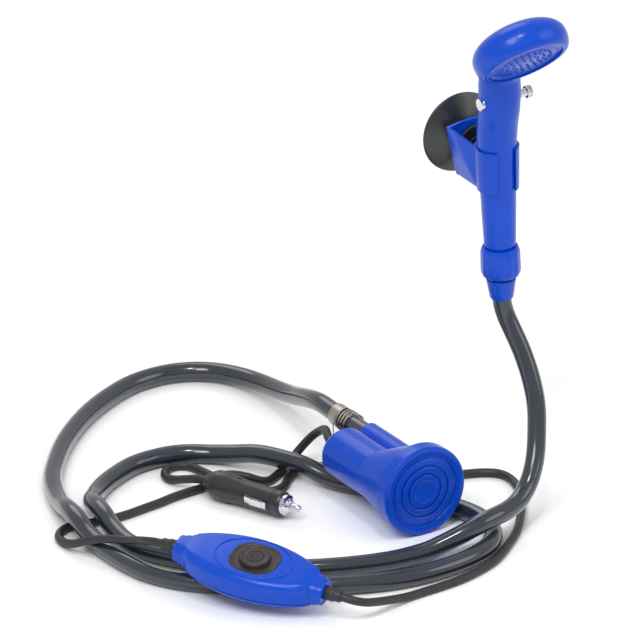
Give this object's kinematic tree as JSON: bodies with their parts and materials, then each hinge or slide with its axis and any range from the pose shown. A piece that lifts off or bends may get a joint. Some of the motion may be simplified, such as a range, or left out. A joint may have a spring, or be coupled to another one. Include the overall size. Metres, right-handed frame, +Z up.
{
  "type": "camp shower pump",
  "caption": "Submersible 12 V camp shower pump with hose, in-line switch, vehicle plug and a spray handset hanging in a suction cup holder.",
  "frame": {"origin": "middle of the suction cup's rim, on the wall plane that the cup sticks to", "axes": "+Y into the wall, +Z up, +X to the right as the user faces the wall; the hose, pump, switch and plug lie on the ground 296 mm below"},
  "size_m": [0.3904, 0.481, 0.4436],
  "materials": {
    "blue_plastic": "gloss",
    "black_plastic": "satin",
    "pad_plastic": "satin",
    "cup_rubber": "satin",
    "seal_rubber": "satin",
    "hose_vinyl": "gloss",
    "cord_rubber": "satin",
    "steel": "brushed",
    "chrome": "polished",
    "brass": "satin"
  },
  "bodies": {
    "base": {"holder_bracket": "blue_plastic", "hose": "hose_vinyl", "hose_clamp_band": "steel", "clamp_spring": "steel", "tie_wire": "steel", "pump_housing": "blue_plastic", "volute_plate": "black_plastic", "motor_can": "steel", "shaft_bushes": "brass", "shaft_seal": "seal_rubber", "pump_end_cap": "blue_plastic", "cable_gland": "black_plastic", "cap_oring": "seal_rubber", "volute_screws": "steel", "outlet_barb": "black_plastic", "switch_top_shell": "blue_plastic", "switch_bottom_shell": "blue_plastic", "button_pad": "pad_plastic", "switch_block": "black_plastic", "switch_spring": "steel", "switch_contacts": "brass", "left_grommet": "cord_rubber", "right_grommet": "cord_rubber", "switch_screws": "steel", "plug_top_shell": "black_plastic", "plug_bottom_shell": "black_plastic", "plug_ring_nut": "chrome", "tip_spring": "steel", "fuse": "chrome", "plug_strain_relief": "cord_rubber", "plug_screw": "steel", "cord_plug_to_switch": "cord_rubber", "cord_switch_to_pump": "cord_rubber"},
    "suction_cup": {"suction_cup": "cup_rubber", "cup_stud": "cup_rubber"},
    "handset": {"handset_shell": "blue_plastic", "spray_plate": "blue_plastic", "spray_plate_seal": "seal_rubber", "hose_tail": "black_plastic", "nut_washer": "seal_rubber", "hose_sleeve": "blue_plastic"},
    "flow_pin": {"flow_pin": "chrome", "flow_pin_orings": "seal_rubber"},
    "union_nut": {"union_nut": "blue_plastic"},
    "strainer_cap": {"strainer_cap": "blue_plastic"},
    "pump_rotor": {"impeller": "black_plastic", "motor_shaft": "steel", "motor_rotor": "brass"},
    "switch_button": {"switch_button": "pad_plastic"},
    "plug_tip": {"plug_tip": "chrome"},
    "side_contact_left": {"side_contact_left": "chrome"},
    "side_contact_right": {"side_contact_right": "chrome"}
  },
  "joints": [
    {"name": "cup_turn", "type": "hinge", "parent": "base", "child": "suction_cup", "pos_m": [0, 0, 0], "axis": [0, 1, 0], "continuous": true},
    {"name": "handset_lift", "type": "slide", "parent": "base", "child": "handset", "axis": [-0.0349, 0, 0.9994], "range_m": [0, 0.048], "deforming": ["hose"]},
    {"name": "flow_pin_slide", "type": "slide", "parent": "handset", "child": "flow_pin", "axis": [0.9994, 0, 0.0349], "range_m": [-0.006, 0]},
    {"name": "nut_turn", "type": "hinge", "parent": "handset", "child": "union_nut", "pos_m": [0.00314, -0.06, -0.08994], "axis": [-0.0349, 0, 0.9994], "continuous": true},
    {"name": "cap_twist", "type": "hinge", "parent": "base", "child": "strainer_cap", "pos_m": [-0.0885, -0.0985, -0.258], "axis": [0.0523, -0.9986, 0], "range_deg": [0, 25]},
    {"name": "pump_spin", "type": "hinge", "parent": "base", "child": "pump_rotor", "pos_m": [-0.1036, -0.04922, -0.259], "axis": [0.0523, -0.9986, 0], "continuous": true},
    {"name": "button_press", "type": "slide", "parent": "base", "child": "switch_button", "axis": [0.1471, 0.2134, -0.9658], "range_m": [0, 0.0015], "stiffness_N_per_m": 900, "springref_m": -0.001},
    {"name": "tip_press", "type": "slide", "parent": "base", "child": "plug_tip", "axis": [-0.4115, 0.9114, 0], "range_m": [0, 0.0025], "stiffness_N_per_m": 1200, "springref_m": -0.002},
    {"name": "side_contact_left_press", "type": "slide", "parent": "base", "child": "side_contact_left", "axis": [-0.9114, -0.4115, 0], "range_m": [0, 0.001], "stiffness_N_per_m": 1500, "springref_m": -0.001},
    {"name": "side_contact_right_press", "type": "slide", "parent": "base", "child": "side_contact_right", "axis": [0.9114, 0.4115, 0], "range_m": [0, 0.001], "stiffness_N_per_m": 1500, "springref_m": -0.001}
  ]
}
